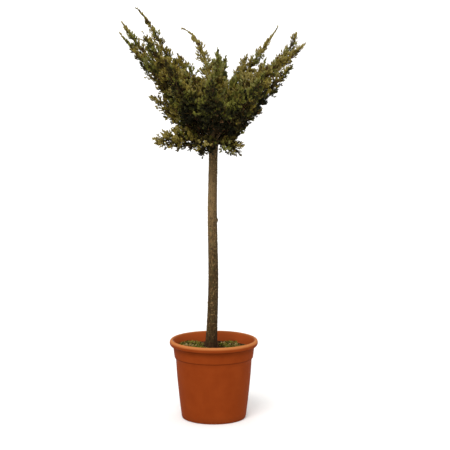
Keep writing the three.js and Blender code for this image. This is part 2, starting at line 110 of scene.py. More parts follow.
# Floor. A plain matt studio floor of pale board, which far out curves up all round into a low wall.
floor_radius = 90
wall_lifts = (1, 3, 5, 7, 9)
wall_spread = 1.06
bpy.ops.object.select_all(action="DESELECT")
bpy.ops.mesh.primitive_circle_add(vertices=96, radius=floor_radius, fill_type="NGON", location=(0, 0, 0))
floor = bpy.context.object
floor.name = "floor"
bpy.ops.object.mode_set(mode="EDIT")
bpy.ops.mesh.select_all(action="SELECT")
for lift in wall_lifts:
    bpy.ops.mesh.extrude_region_move(TRANSFORM_OT_translate={"value": (0, 0, lift)})
    bpy.ops.transform.resize(value=(wall_spread, wall_spread, 1), center_override=(0, 0, 0))
bpy.ops.mesh.delete(type="ONLY_FACE")
bpy.ops.object.mode_set(mode="OBJECT")
floor_board, shader = new_material("pale matt board", 0.9, 0.5)
shader.inputs["Base Color"].default_value = srgb("#f7f6f4")
floor.data.materials.append(floor_board)

# Pot. A round nursery container, blow-moulded in terracotta-coloured polypropylene: tapered body with a
# rounded foot, a collar that stands out by a step, and a rim rolled outwards into a thick bead.
mm = 0.001
pot_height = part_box("pot")[1].z
rim_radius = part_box("pot")[1].x
bead_half_width = 8.2 * mm
bead_half_height = 12 * mm
bead_foot = 0.86 * bead_half_height
bead_from = -60
bead_to = 150
collar_top_radius = 158.5 * mm
collar_foot_radius = 153 * mm
collar_foot = 240 * mm
body_top_radius = 148 * mm
body_bulge = 2.5 * mm
base_radius = 124.5 * mm
foot_rounding = 6 * mm
wall = 3 * mm
pot_floor = 4 * mm
pot_sides = 144
undercut = 9 * mm
step_rounding = 1.2 * mm
mould_waves = 0.35 * mm
wave_length = 70 * mm
smooth_under = 35


def body_radius(height):
    """The pot's outer radius below the collar."""
    share = height / collar_foot
    return base_radius + (body_top_radius - base_radius) * share + body_bulge * math.sin(math.pi * share)


def inner_radius(height):
    """The pot's inner radius, a wall inside the body and the collar."""
    if height <= collar_foot:
        return body_radius(height) - wall
    share = (height - collar_foot) / (pot_height - collar_foot)
    return body_top_radius + (collar_top_radius - body_top_radius) * share - wall


def extrude_rings(profile):
    """Extrudes the selected round face through rings that are given as radius and height."""
    for (radius, height), (next_radius, next_height) in zip(profile, profile[1:]):
        lift = {"value": (0, 0, next_height - height)}
        bpy.ops.mesh.extrude_region_move(TRANSFORM_OT_translate=lift)
        share = next_radius / radius
        bpy.ops.transform.resize(value=(share, share, 1), center_override=(0, 0, next_height))


def turned_piece(name, profile, sides):
    """A round piece, extruded ring by ring through its profile."""
    bpy.ops.object.select_all(action="DESELECT")
    first_radius, first_height = profile[0]
    place = (0, 0, first_height)
    bpy.ops.mesh.primitive_circle_add(vertices=sides, radius=first_radius, fill_type="NGON", location=place)
    piece = bpy.context.object
    piece.name = name
    bpy.ops.object.transform_apply(location=True, rotation=True, scale=True)
    bpy.ops.object.mode_set(mode="EDIT")
    bpy.ops.mesh.select_all(action="SELECT")
    extrude_rings(profile)
    bpy.ops.mesh.select_all(action="SELECT")
    bpy.ops.mesh.normals_make_consistent(inside=False)
    bpy.ops.object.mode_set(mode="OBJECT")
    return piece


def roughen(piece, height_at):
    """Moves the points of a piece out along their normals by what height_at gives for each."""
    points = np.empty(3 * len(piece.data.vertices))
    normals = np.empty_like(points)
    piece.data.vertices.foreach_get("co", points)
    piece.data.vertices.foreach_get("normal", normals)
    lifts = [height_at(Vector(point)) for point in points.reshape(-1, 3)]
    piece.data.vertices.foreach_set("co", points + normals * np.repeat(lifts, 3))
    piece.data.update()


def hand_over(piece, material, nodes):
    """Gives a piece its finish and its body, and makes it stand for its CAD nodes."""
    piece.data.materials.append(material)
    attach(piece, "root")
    if nodes:
        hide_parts(*nodes)


bead_height = pot_height - bead_half_height
bead_centre = rim_radius - bead_half_width
pot_profile = []
for turn in np.radians(np.linspace(0, 90, 7)):
    ring = (base_radius - foot_rounding * (1 - math.sin(turn)), foot_rounding * (1 - math.cos(turn)))
    pot_profile.append(ring)
for height in np.linspace(foot_rounding * 1.5, collar_foot - undercut, 24):
    pot_profile.append((body_radius(height), height))
for turn in np.radians(np.linspace(0, 90, 4)):
    out = collar_foot_radius - step_rounding * (1 - math.sin(turn))
    pot_profile.append((out, collar_foot + step_rounding * (1 - math.cos(turn))))
for share in np.linspace(0.1, 1, 9):
    out = collar_foot_radius + (collar_top_radius - collar_foot_radius) * share
    foot = collar_foot + step_rounding
    pot_profile.append((out, foot + (bead_height - bead_foot - foot) * share))
for turn in np.radians(np.linspace(bead_from, bead_to, 20)):
    out = bead_centre + bead_half_width * math.cos(turn)
    pot_profile.append((out, bead_height + bead_half_height * math.sin(turn)))
for height in np.linspace(bead_height, pot_floor, 16):
    pot_profile.append((inner_radius(height), height))
pot = turned_piece("pot", pot_profile, pot_sides)
roughen(pot, lambda point: mould_waves * noise.noise(point / wave_length) * min(1, point.z / wave_length))
bpy.ops.object.shade_smooth_by_angle(angle=math.radians(smooth_under))


def add_node(material, kind, inputs, stops=(), **settings):
    """Adds a node. An input is a value, or another node's output to link. Stops are a ramp's colours."""
    node = material.node_tree.nodes.new(f"ShaderNode{kind}")
    for name, value in settings.items():
        setattr(node, name, value)
    for name, value in inputs.items():
        if isinstance(value, bpy.types.NodeSocket):
            material.node_tree.links.new(value, node.inputs[name])
        else:
            node.inputs[name].default_value = value
    for index, (position, colour) in enumerate(stops):
        stop = node.color_ramp.elements[index] if index < 2 else node.color_ramp.elements.new(position)
        stop.position = position
        stop.color = srgb(colour)
    return node


def stained(material, under, stain, value, clean, full, strength=1):
    """The colour under, stained by another to a strength where a value goes from clean to full."""
    amount = {"Value": value, "From Min": clean, "From Max": full, "To Max": strength}
    reach = add_node(material, "MapRange", amount).outputs["Result"]
    both = {0: reach, 6: under, 7: srgb(stain)}
    return add_node(material, "Mix", both, data_type="RGBA").outputs[2]


def give_surface(material, shader, colour, height, strength, depth):
    """Links a colour to the shader, and a relief of some strength and depth as its bump."""
    relief = {"Height": height, "Strength": strength, "Distance": depth}
    bump = add_node(material, "Bump", relief)
    material.node_tree.links.new(colour, shader.inputs["Base Color"])
    material.node_tree.links.new(bump.outputs["Normal"], shader.inputs["Normal"])


# Blow-moulded polypropylene, coloured through: a soft, almost matt skin. The mould's grain is drawn coarser
# than it is, so that it shows. The top and outer side of the rim carry a painted highlight, and the inner
# wall is painted lighter as painted light inside the pot. The pot is darker towards its foot. Painted shadow
# lines lie under the rim and in the step, with a broad band of painted shade below the rim.
grain = 2.5 * mm
blotch = 45 * mm
foot_darkening_height = 25 * mm
# The painted highlight on the rim runs up between these heights.
rim_highlight_from = pot_height - 11.5 * mm
rim_highlight_to = pot_height - 4 * mm
rim_crease = bead_height - 0.9 * bead_half_height
# Painted shadow: dark lines under the rim and in the collar's step, and a broad band of painted shade below
# the rim, each as height, reach and strength.
crease_shadows = [(rim_crease, 3.5 * mm, 1), (rim_crease - 8 * mm, 16 * mm, 0.25), (collar_foot, 3 * mm, 0.7)]
plastic, shader = new_material("blow-moulded terracotta polypropylene", 0.5, 0.01)
place = add_node(plastic, "TexCoord", {}).outputs["Object"]
patches = {"Vector": place, "Scale": 1 / blotch, "Detail": 4}
clouds = add_node(plastic, "TexNoise", patches).outputs["Fac"]
tint = add_node(plastic, "ValToRGB", {"Fac": clouds}, ((0.3, "#78310f"), (0.7, "#7f3612")))
height = add_node(plastic, "SeparateXYZ", {"Vector": place}).outputs["Z"]
# Painted highlight: the rim's top and outer side are painted paler, where light falls on them.
rise = {"Value": height, "From Min": rim_highlight_from, "From Max": rim_highlight_to, "To Max": 0.9}
upwards = add_node(plastic, "MapRange", rise)
flat = add_node(plastic, "VectorMath", {0: place, 1: (1, 1, 0)}, operation="MULTIPLY")
out = add_node(plastic, "VectorMath", {0: flat.outputs[0]}, operation="LENGTH").outputs["Value"]
side = {"Value": out, "From Min": bead_centre - 0.9 * bead_half_width, "From Max": bead_centre}
outwards = add_node(plastic, "MapRange", {**side, "To Min": 0.25})
both = {0: upwards.outputs["Result"], 1: outwards.outputs["Result"]}
painted_rim_highlight = add_node(plastic, "Math", both, operation="MULTIPLY").outputs[0]
skin = stained(plastic, tint.outputs["Color"], "#b4703f", painted_rim_highlight, 0, 1)
# Darker towards the foot.
skin = stained(plastic, skin, "#5f3016", height, foot_darkening_height, 0, 0.35)
# Paints in the shadow lines and the band of shade, each darkest at its height.
for crease, reach, strength in crease_shadows:
    above = add_node(plastic, "Math", {0: height, 1: crease}, operation="SUBTRACT")
    away = add_node(plastic, "Math", {0: above.outputs[0]}, operation="ABSOLUTE")
    skin = stained(plastic, skin, "#3c1000", away.outputs[0], reach, 0, strength)
# Painted light: the inner wall is painted lighter, over the painted shadow lines too, against the shade that
# falls inside the pot.
wall_slope = (collar_top_radius - body_top_radius) / (pot_height - collar_foot)
wall_line = {0: height, 1: wall_slope, 2: body_top_radius - wall - wall_slope * collar_foot}
wall_at = add_node(plastic, "Math", wall_line, operation="MULTIPLY_ADD").outputs[0]
past_wall = add_node(plastic, "Math", {0: out, 1: wall_at}, operation="SUBTRACT").outputs[0]
skin = stained(plastic, skin, "#9c471e", past_wall, 2.4 * mm, 0.8 * mm)
pimples = add_node(plastic, "TexNoise", {"Vector": place, "Scale": 1 / grain, "Detail": 3})
give_surface(plastic, shader, skin, pimples.outputs["Fac"], 0.35, 0.3 * mm)
dulling = add_node(plastic, "MapRange", {"Value": clouds, "To Min": 0.42, "To Max": 0.62})
plastic.node_tree.links.new(dulling.outputs["Result"], shader.inputs["Roughness"])
hand_over(pot, plastic, ["pot"])

# Soil. Bark-based potting compost that fills the pot to 40 mm under the rim, uneven and dark. It is one round
# piece, a hair clear of the pot's wall, with its top heaved up and crumbled.
soil_height = 269 * mm
soil_unevenness = 2.5 * mm
heave_length = 23 * mm
flat_round_stem = 26 * mm
full_heave_from = 60 * mm
soil_gap = 0.35 * mm
crumb_size = 6 * mm
crumb_relief = 1.4 * mm
soil_sides = 160
level_rim = 0.98


def smoothstep(low, high, value):
    """Rises smoothly from 0 at low to 1 at high."""
    share = np.clip((value - low) / (high - low), 0, 1)
    return share * share * (3 - 2 * share)


def soil_surface(x, y):
    """The height of the soil, which heaves a little away from the stem."""
    heave = soil_unevenness * np.sin(x / heave_length + 1) * np.cos(y / heave_length)
    return soil_height + heave * smoothstep(flat_round_stem, full_heave_from, np.hypot(x, y))


soil_edge = inner_radius(soil_height) - soil_gap
soil_profile = [(inner_radius(h) - soil_gap, h) for h in (pot_floor + soil_gap, collar_foot / 2, collar_foot)]
for share in np.linspace(1, 0.01, 60):
    soil_profile.append((soil_edge * share, soil_height))
soil = turned_piece("soil", soil_profile, soil_sides)
for vertex in soil.data.vertices:
    from_middle = math.hypot(vertex.co.x, vertex.co.y)
    if vertex.co.z > soil_height - mm and from_middle < soil_edge * level_rim:
        crumbs = noise.fractal(vertex.co / crumb_size, 1, 2, 3)
        vertex.co.z = soil_surface(vertex.co.x, vertex.co.y) + crumb_relief * crumbs
bpy.ops.object.shade_smooth()

# Moist compost is matt, nearly black in its hollows and dark brown on its lumps.
compost, shader = new_material("moist bark compost", 0.95, 0.05)
place = add_node(compost, "TexCoord", {}).outputs["Object"]
lumps = add_node(compost, "TexVoronoi", {"Vector": place, "Scale": 1 / crumb_size})
shades = ((0.2, "#160e08"), (0.8, "#3f2a1a"))
earth = add_node(compost, "ValToRGB", {"Fac": lumps.outputs["Color"]}, shades)
give_surface(compost, shader, earth.outputs["Color"], lumps.outputs["Distance"], 0.8, 1.5 * mm)
hand_over(soil, compost, ["soil"])


def joined_mesh(name, corners, faces):
    """One piece from arrays: corners in metres, and faces of three corners each."""
    mesh = bpy.data.meshes.new(name)
    mesh.vertices.add(len(corners))
    mesh.vertices.foreach_set("co", np.asarray(corners, dtype=np.float32).ravel())
    mesh.loops.add(faces.size)
    mesh.loops.foreach_set("vertex_index", np.asarray(faces, dtype=np.int32).ravel())
    mesh.polygons.add(len(faces))
    mesh.polygons.foreach_set("loop_start", np.arange(0, faces.size, 3, dtype=np.int32))
    mesh.update(calc_edges=True)
    piece = bpy.data.objects.new(name, mesh)
    bpy.context.collection.objects.link(piece)
    return piece


def unit(vectors):
    """The vectors of an array, each one unit long."""
    return vectors / np.linalg.norm(vectors, axis=-1, keepdims=True)


def copies(shape, roots, across, along, sizes):
    """Copies of a shape: its y runs along, its x across, and its z out of both. Gives corners and faces."""
    corners, faces = shape
    out = np.cross(across, along)
    axes = np.stack([across, along, out], axis=1)
    placed = roots[:, None] + np.einsum("vj,njk->nvk", corners, axes) * sizes[:, None, None]
    numbered = faces[None] + (np.arange(len(roots)) * len(corners))[:, None, None]
    return placed.reshape(-1, 3), numbered.reshape(-1, 3)


def chance(seed, index):
    """A repeatable number from 0 to 1 for a seed and an index."""
    wave = np.sin(seed * 12.9898 + index * 78.233) * 43758.5453
    return wave - np.floor(wave)


def blade(root, tip, half_width, depth, widest):
    """A pointed leaf of four faces with a keel below, widest at a share of its length. Corners and faces."""
    root = np.array(root, dtype=float)
    tip = np.array(tip, dtype=float)
    side = unit(np.cross(tip - root, (0.0, 0.0, 1.0)))
    over = unit(np.cross(side, tip - root))
    middle = root + (tip - root) * widest + over * depth
    corners = np.array([root, middle + side * half_width, tip, middle - side * half_width])
    faces = np.array([(0, 2, 1), (0, 3, 2), (0, 1, 3), (1, 2, 3)])
    return corners, faces


def mottled(name, dark, light, size, detail=3, spread=(0.35, 0.65), roughness=0.7, gloss=0.06):
    """A matt material that varies softly from dark to light in patches of a size."""
    material, shader = new_material(name, roughness, gloss)
    place = add_node(material, "TexCoord", {}).outputs["Object"]
    patches = add_node(material, "TexNoise", {"Vector": place, "Scale": 1 / size, "Detail": detail})
    shades = zip(spread, (dark, light))
    tint = add_node(material, "ValToRGB", {"Fac": patches.outputs["Fac"]}, shades)
    material.node_tree.links.new(tint.outputs["Color"], shader.inputs["Base Color"])
    return material


def fused(shapes):
    """One shape of several, each given as corners and faces."""
    corners = np.concatenate([shape[0] for shape in shapes])
    starts = np.cumsum([0] + [len(shape[0]) for shape in shapes[:-1]])
    faces = np.concatenate([shape[1] + start for shape, start in zip(shapes, starts)])
    return corners, faces


# Crumbs and chips. Loose bits of composted bark, 3 to 9 mm, that lie on the soil, turned every way. They are
# dry and matt, from nearly black to the light brown of fresh bark.
bpy.ops.object.select_all(action="DESELECT")
bpy.ops.mesh.primitive_ico_sphere_add(subdivisions=1, radius=0.5)
pebble = bpy.context.object
pebble_corners = np.array([vertex.co[:] for vertex in pebble.data.vertices])
pebble_faces = np.array([face.vertices[:] for face in pebble.data.polygons])
bpy.ops.object.delete()
pebble_corners *= 0.75 + 0.5 * chance(3, np.arange(len(pebble_corners)))[:, None]
pebble_corners[:, 2] *= 0.5
crumb_count = 1400
crumb_room = 0.97 * soil_edge
crumb_lift = 0.5 * mm
crumb_tilt = 0.5
number = np.arange(crumb_count)
from_middle = crumb_room * np.sqrt(chance(11, number))
number = number[from_middle > flat_round_stem]
from_middle = from_middle[from_middle > flat_round_stem]
turn = 2 * math.pi * chance(12, number)
x = from_middle * np.cos(turn)
y = from_middle * np.sin(turn)
spots = np.stack([x, y, soil_surface(x, y) + crumb_lift], axis=1)
headings = 2 * math.pi * chance(13, number)
tilts = crumb_tilt * (chance(14, number) - 0.5)
ways = np.stack([np.cos(headings) * np.cos(tilts), np.sin(headings) * np.cos(tilts), np.sin(tilts)], axis=1)
flat = unit(np.cross(ways, (0, 0, 1)))
crumb_sizes = (3 + 6 * chance(15, number) ** 2) * mm
crumbs = joined_mesh("soil_crumbs", *copies((pebble_corners, pebble_faces), spots, flat, ways, crumb_sizes))
chips = mottled("composted bark chips", "#1f130b", "#7d5c3a", 4 * mm, 2, (0, 1), 0.9, 0.05)
hand_over(crumbs, chips, [])

# Moss. Four low cushions of moss and seedling weeds on the soil. Each mound is cut to lie on the soil, and is
# set thickly with small rosettes of leaves. Green, olive, dry and shaded rosettes are dealt out at random.
moss_raggedness = 0.16
rosette_size = 12.5 * mm
rosette_spacing = 3.6 * mm
rosette_leaves = 6
leaf_reach = 0.8
leaf_half_width = 0.17
leaf_keel = 0.08
rosette_lean = 0.9
golden_angle = math.pi * (3 - math.sqrt(5))
moss_relief = 1.2 * mm
moss_lumps = 7 * mm

# A cushion has its place across and in depth, its radius and its height, in millimetres.
moss_cushions = {
    "moss_left_back": (-88, 42, 40, 13),
    "moss_left_front": (-66, -34, 34, 10),
    "moss_right_back": (62, 52, 34, 11),
    "moss_right_front": (84, -26, 38, 12),
}

# A kind of rosette has its share of all of them, and its dark and its light colour.
moss_kinds = {
    "moss_green": (0.36, "#505c18", "#80882e"),
    "moss_olive": (0.28, "#685623", "#917b3a"),
    "moss_dry": (0.06, "#a88a54", "#dcc894"),
    "moss_shaded": (0.3, "#2c2410", "#493a1a"),
}


def moss_spot(cushion, index, turn, out):
    """Where a share of the way out to a cushion's ragged edge lies, at a turn round its middle."""
    x, y, radius, _ = cushion
    ragged = 1 + moss_raggedness * (np.sin(3 * turn + index * 2) + 0.5 * np.sin(7 * turn + index))
    reach = radius * mm * ragged * out
    return x * mm + reach * np.cos(turn), y * mm + reach * np.sin(turn)


rosette = []
for k in range(rosette_leaves):
    turn = 2 * math.pi * k / rosette_leaves
    tip = (leaf_reach * math.cos(turn), 0.35 + 0.5 * chance(5, k), leaf_reach * math.sin(turn))
    rosette.append(blade((0, 0, 0), tip, leaf_half_width, leaf_keel, 0.6))
rosette = fused(rosette)
moss_mat = mottled("moss mat", "#2a2412", "#4a4122", 9 * mm)
spots = []
for index, (name, cushion) in enumerate(moss_cushions.items()):
    radius, rise = cushion[2:]
    bpy.ops.object.select_all(action="DESELECT")
    bpy.ops.mesh.primitive_uv_sphere_add(segments=48, ring_count=24, radius=1, location=(0, 0, 0))
    mound = bpy.context.object
    mound.name = name
    for vertex in mound.data.vertices:
        turn = math.atan2(vertex.co.y, vertex.co.x)
        x, y = moss_spot(cushion, index, turn, math.hypot(vertex.co.x, vertex.co.y))
        vertex.co = (x, y, soil_height + rise * mm * vertex.co.z)
    bpy.ops.object.mode_set(mode="EDIT")
    bpy.ops.mesh.select_all(action="SELECT")
    lowest_soil = (0, 0, soil_height - soil_unevenness)
    bpy.ops.mesh.bisect(plane_co=lowest_soil, plane_no=(0, 0, 1), use_fill=True, clear_inner=True)
    bpy.ops.object.mode_set(mode="OBJECT")
    roughen(mound, lambda point: moss_relief * noise.fractal(point / moss_lumps, 1, 2, 2))
    bpy.ops.object.shade_smooth()
    hand_over(mound, moss_mat, [name])
    count = round(math.pi * (radius * mm / rosette_spacing) ** 2)
    number = np.arange(count)
    out = np.sqrt((number + 0.5) / count)
    x, y = moss_spot(cushion, index, number * golden_angle, out)
    spots.append(np.stack([x, y, soil_height + rise * mm * np.sqrt(1 - out ** 2)], axis=1))
spots = np.concatenate(spots)
number = np.arange(len(spots))
leans = np.stack([chance(21, number) - 0.5, chance(22, number) - 0.5, 0 * number], axis=1)
ways = unit(np.array([0, 0, 1]) + rosette_lean * leans)
flat = unit(np.cross(ways, np.stack([np.sin(number), np.cos(number), 0 * number], axis=1)))
rosette_sizes = rosette_size * (0.55 + 0.6 * chance(23, number) ** 2)
drawn = chance(24, number)
start = 0
for name, (share, dark, light) in moss_kinds.items():
    mine = (drawn >= start) & (drawn < start + share)
    start += share
    set_out = copies(rosette, spots[mine], flat[mine], ways[mine], rosette_sizes[mine])
    leaf = mottled(f"{name.replace('_', ' ')} leaves", dark, light, 6 * mm)
    hand_over(joined_mesh(name, *set_out), leaf, [])

# Stem. One clear stem of old wood that sways gently, flares where it meets the soil and swells at the head
# where the boughs fork. Its thin bark has split lengthwise into narrow strips, with scars of pruned twigs.
stem_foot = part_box("stem")[0].z
stem_top = 1150 * mm
stem_x = -3.2 * mm
stem_sway = 1.8 * mm
stem_depth_pace = 0.8
sway_length = 520 * mm
sway_start = 420 * mm
stem_foot_radius = 20.3 * mm
stem_head_radius = 16.1 * mm
stem_tip_radius = 8 * mm
flare_radius = 4 * mm
flare_height = 60 * mm
foot_bend = 8 * mm
foot_bend_height = 80 * mm
flare_lobes = 5
lobe_depth = 0.35
head_height = 1062 * mm
head_swelling = 2.2 * mm
head_spread = 30 * mm
bark_strip = 4.5 * mm
strip_length = 15 * mm
strip_depth = 1.1 * mm
bark_flake = 4 * mm
flake_depth = 0.9 * mm
scar_hollow = 0.45

# A scar has its height, its azimuth in degrees, its radius and how far it stands out, in millimetres.
scars = [
    (775, 8, 6, 5.5),
    (455, 205, 6, 2.2),
    (585, 300, 5, 2),
    (690, 75, 6, 2.5),
    (880, 230, 5, 2.4),
    (962, 330, 5, 2.6),
]


def stem_centre(height):
    """The middle of the stem at a height, or at each of several heights."""
    phase = 2 * math.pi * (height - sway_start) / sway_length
    bend = foot_bend * np.exp((soil_height - height) / foot_bend_height)
    x = stem_x + stem_sway * np.sin(phase) - bend
    return np.array([x, stem_sway * np.cos(stem_depth_pace * phase), height])


def stem_radius(height):
    """The stem's mean radius at a height."""
    head = head_swelling * math.exp(-(((height - head_height) / head_spread) ** 2))
    if height > head_height:
        share = (height - head_height) / (stem_top - head_height)
        return stem_head_radius + (stem_tip_radius - stem_head_radius) * share + head
    climb = (height - soil_height) / (head_height - soil_height)
    flare = flare_radius * math.exp((soil_height - height) / flare_height)
    return stem_foot_radius + (stem_head_radius - stem_foot_radius) * climb + flare + head


def limbs(name, lines, fineness):
    """Round limbs in one piece, drawn as curves. Each line is a list of points and the radius at each."""
    bpy.ops.object.select_all(action="DESELECT")
    bpy.ops.curve.primitive_bezier_curve_add()
    piece = bpy.context.object
    piece.name = name
    piece.data.splines.clear()
    for points, radii in lines:
        spline = piece.data.splines.new("POLY")
        spline.points.add(len(points) - 1)
        for bead, point, radius in zip(spline.points, points, radii):
            bead.co = (*point, 1)
            bead.radius = radius / mm
    piece.data.dimensions = "3D"
    piece.data.bevel_depth = mm
    piece.data.bevel_resolution = fineness
    piece.data.use_fill_caps = True
    bpy.ops.object.convert(target="MESH")
    bpy.ops.object.shade_smooth()
    return bpy.context.object


def bark_height(point):
    """The bark's relief at a point: strips that run up the limb, with fine flakes on them."""
    strips = noise.noise(Vector((point.x / bark_strip, point.y / bark_strip, point.z / strip_length)))
    flakes = noise.fractal(point / bark_flake, 1, 2, 2)
    return strip_depth * (1 - 2 * abs(strips)) * 0.6 + flake_depth * flakes


def stem_relief(point):
    """The stem's relief at a point: bark, the lobes of its flared foot, and hollow scars."""
    x, y, _ = stem_centre(point.z)
    turn = math.atan2(point.y - y, point.x - x)
    foot = flare_radius * math.exp((soil_height - point.z) / flare_height)
    lift = bark_height(point) + foot * lobe_depth * math.cos(flare_lobes * turn)
    for height, azimuth, size, stands in scars:
        swing = math.remainder(turn - math.radians(azimuth), 2 * math.pi) * stem_radius(point.z)
        away = math.hypot(swing, point.z - height * mm) / (size * mm)
        hollow = scar_hollow * math.exp(-((2.5 * away) ** 2))
        lift += stands * mm * math.exp(-(away ** 2)) * (1 - hollow)
    return lift


stem_heights = np.linspace(stem_foot, stem_top, 520)
stem_points = stem_centre(stem_heights).T
stem = limbs("stem", [(stem_points, [stem_radius(height) for height in stem_heights])], 32)
roughen(stem, stem_relief)

# Juniper bark: thin, dry and fibrous, weathered from brown to grey, with a film of green algae and lichen. It
# is palest a little above the stem's middle and browner below, has painted shade under the crown and on its
# right side, and is darker at the damp foot. Flakes show as pale and dark specks.
bark, shader = new_material("weathered juniper bark", 0.88, 0.15)
place = add_node(bark, "TexCoord", {}).outputs["Object"]
upright = {"Vector": place, "Scale": (1, 1, bark_strip / strip_length)}
drawn_out = add_node(bark, "Mapping", upright).outputs[0]
fibres = {"Vector": drawn_out, "Scale": 1 / bark_strip, "Detail": 5}
strips = add_node(bark, "TexNoise", fibres).outputs["Fac"]
browns = ((0.32, "#1c140a"), (0.5, "#4a361b"), (0.68, "#725938"))
skin = add_node(bark, "ValToRGB", {"Fac": strips}, browns).outputs["Color"]
patches = add_node(bark, "TexNoise", {"Vector": place, "Scale": 1 / (14 * mm), "Detail": 4})
skin = stained(bark, skin, "#4e4526", patches.outputs["Fac"], 0.5, 0.7)
across, _, height = add_node(bark, "SeparateXYZ", {"Vector": place}).outputs
# A pale band a little above the middle, painted shade under the crown, a browner lower stem, and painted
# shade on the right side.
for colour, value, clean, full, strength in (
    ("#9c8058", height, 620 * mm, 880 * mm, 0.28),
    ("#33260f", height, 890 * mm, 1020 * mm, 0.6),
    ("#2c1b05", height, 650 * mm, 530 * mm, 0.42),
    ("#2c200e", across, -8 * mm, 10 * mm, 0.6),
):
    skin = stained(bark, skin, colour, value, clean, full, strength)
for colour, speck_size in (("#90744a", 5 * mm), ("#1d150b", 7 * mm)):
    grains = add_node(bark, "TexNoise", {"Vector": place, "Scale": 1 / speck_size, "Detail": 2})
    skin = stained(bark, skin, colour, grains.outputs["Fac"], 0.6, 0.68, 0.7)
skin = stained(bark, skin, "#2c1a0c", height, soil_height + 75 * mm, soil_height, 0.85)
give_surface(bark, shader, skin, strips, 0.6, mm)
hand_over(stem, bark, ["stem"])

# Boughs. Every plume of the crown is carried by a tapering bough that forks from the head of the stem in a
# swollen collar and is bare at first. The boughs are drawn as curves and have the stem's bark.

# A plume has its name, its habit, the azimuth of its tip, with 0 to the right and 90 away from the front, its
# reach and its top in millimetres, and what it has of its own. Its bough leaves the stem up to "fork_span"
# above "fork", at the steepness "leaves", and is bare for a share of the whole length. The plume's tip points
# at the steepness "ends". The girth is millimetres from the plume's line to its edge.
usual = dict(leaves=52, ends=52, end_bend=0.33, curl=0, girth=72, taper=0.8)
tall = dict(usual, fork=1096, fork_span=42, bare=0.11)
inner = dict(tall, leaves=68, ends=64, girth=58)
leader = dict(tall, end_bend=0.12, girth=64, taper=1.05)
curled = dict(leader, leaves=64, curl=46, end_bend=0.17)
middle = dict(usual, fork=1078, fork_span=30, leaves=38, ends=56, girth=74, bare=0.12)
low = dict(usual, fork=1056, fork_span=18, leaves=14, ends=-22, taper=0.6, bare=0.16)
plume_rows = [
    ("left_leader", leader, 160, 330, 1588, dict(leaves=49, ends=20, girth=68, taper=1.1)),
    ("left_upper", tall, 177, 350, 1527, dict(leaves=46, ends=58, girth=68)),
    ("left_outer", middle, 192, 364, 1493, dict(leaves=47, ends=52, girth=70, taper=1)),
    ("left_inner", tall, 209, 300, 1493, dict(ends=62, girth=74, taper=0.65)),
    ("left_front", middle, 235, 310, 1395, {}),
    ("inner_left", inner, 146, 172, 1406, dict(leaves=62, girth=76)),
    ("inner_front", inner, 276, 140, 1433, {}),
    ("inner_right", inner, 43, 171, 1401, dict(fork=1065, leaves=62, girth=56, taper=0.65)),
    ("inner_back", inner, 76, 176, 1396, dict(fork=1110, girth=52)),
    ("front", middle, 268, 320, 1330, dict(girth=84)),
    ("right_front", middle, 306, 315, 1352, {}),
    ("right_lower", middle, 334, 321, 1371, dict(leaves=43, ends=50, girth=69, taper=0.65)),
    ("right_outer", tall, 352, 347, 1450, dict(leaves=54, ends=42, girth=62, taper=0.65)),
    ("right_fork", tall, 6, 312, 1487, dict(ends=84, end_bend=0.2, girth=46, taper=0.42)),
    ("right_leader", leader, 22, 262, 1508, dict(leaves=59, ends=54, girth=59)),
    ("right_back", middle, 48, 300, 1384, dict(girth=62)),
    ("back", middle, 86, 310, 1385, dict(girth=84)),
    ("back_leader", curled, 117, 284, 1501, dict(ends=8, girth=72, taper=1.15)),
    ("left_back", middle, 138, 338, 1445, dict(girth=52, taper=0.9)),
    ("low_right", low, 350, 180, 1200, dict(leaves=31, ends=26, girth=66, taper=0.85)),
    ("low_right_front", low, 318, 106, 1052, dict(leaves=2, ends=-35, girth=74)),
    ("low_front", low, 254, 160, 1056, dict(leaves=8, girth=70)),
    ("low_left_front", low, 205, 236, 1082, dict(leaves=24, ends=-12, girth=68, taper=0.55)),
    ("low_left", low, 168, 254, 1242, dict(leaves=33, ends=22, girth=78, taper=0.8)),
    ("low_back_left", low, 120, 215, 1112, dict(leaves=20, girth=74)),
    ("low_back_right", low, 66, 208, 1102, dict(leaves=20, girth=74)),
]
crown_x = 3.5 * mm
bough_root_radius = 6.5 * mm
bough_tip_radius = 4.2 * mm
collar_swelling = 3.5 * mm
collar_spread = 11 * mm
bough_bark = 0.7
path_steps = 160


def slope(azimuth, steepness, length):
    """A vector of a length that points to an azimuth and up at a steepness, both in degrees."""
    turn = math.radians(azimuth)
    rise = math.radians(steepness)
    way = (math.cos(turn) * math.cos(rise), math.sin(turn) * math.cos(rise), math.sin(rise))
    return length * np.array(way)


def bezier(handles, share):
    """Points of a cubic curve with four handles, at the shares of an array."""
    share = share[:, None]
    keep = 1 - share
    start, leaving, ending, tip = handles
    early = keep ** 3 * start + 3 * keep ** 2 * share * leaving
    return early + 3 * keep * share ** 2 * ending + share ** 3 * tip


def plume_path(plume, azimuth, reach, top):
    """Evenly spaced points on a plume's line, from the middle of the stem to its tip, and its length."""
    root = stem_centre((plume["fork"] + plume["fork_span"] * chance(plume["index"], 1)) * mm)
    tip = slope(azimuth, 0, reach * mm) + np.array([crown_x, 0, top * mm])
    length = np.linalg.norm(tip - root)
    leaving = root + slope(azimuth - plume["curl"], plume["leaves"], length / 3)
    ending = tip - slope(azimuth + plume["curl"], plume["ends"], length * plume["end_bend"])
    drawn = bezier((root, leaving, ending, tip), np.linspace(0, 1, 4 * path_steps))
    run = np.concatenate([[0], np.cumsum(np.linalg.norm(np.diff(drawn, axis=0), axis=1))])
    even = np.linspace(0, run[-1], path_steps + 1)
    return np.stack([np.interp(even, run, drawn[:, i]) for i in range(3)], axis=1), run[-1]


